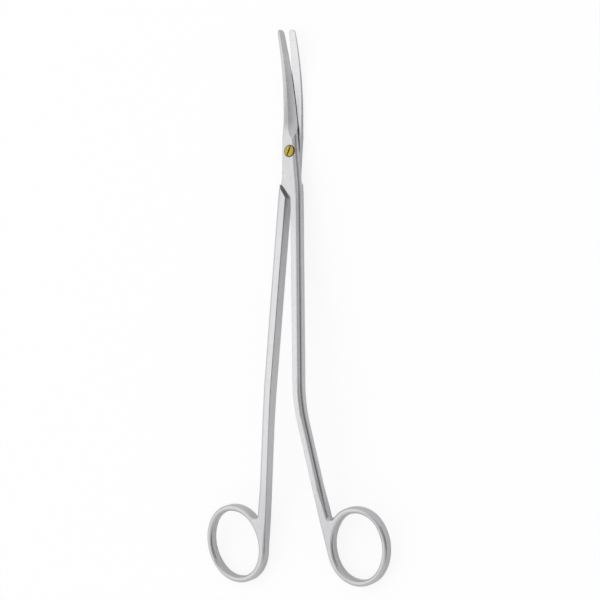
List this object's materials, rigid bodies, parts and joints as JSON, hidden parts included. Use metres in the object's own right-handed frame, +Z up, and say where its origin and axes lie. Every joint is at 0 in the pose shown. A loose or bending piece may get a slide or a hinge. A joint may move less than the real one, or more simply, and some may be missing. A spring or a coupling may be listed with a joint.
{
  "type": "dissecting scissors",
  "caption": "Long curved dissecting scissors: two ring-handled steel halves crossing in a lap joint on a slotted gold-coloured screw.",
  "frame": {"origin": "middle of the bounding box, on the table the scissors lie on", "axes": "+Z up from the table, +Y towards the blade tips, +X to the right seen from above"},
  "size_m": [0.0986, 0.2538, 0.0161],
  "materials": {
    "steel": "satin ground stainless steel",
    "screw": "satin gold coloured"
  },
  "bodies": {
    "lower": {"lower_half": "steel", "pivot_screw": "screw"},
    "upper": {"upper_half": "steel"}
  },
  "joints": [
    {"name": "pivot", "type": "hinge", "parent": "lower", "child": "upper", "pos_m": [0, 0.07121, 0.0038], "axis": [0, 0.0883, 0.9961], "range_deg": [-6.05, 60]}
  ]
}
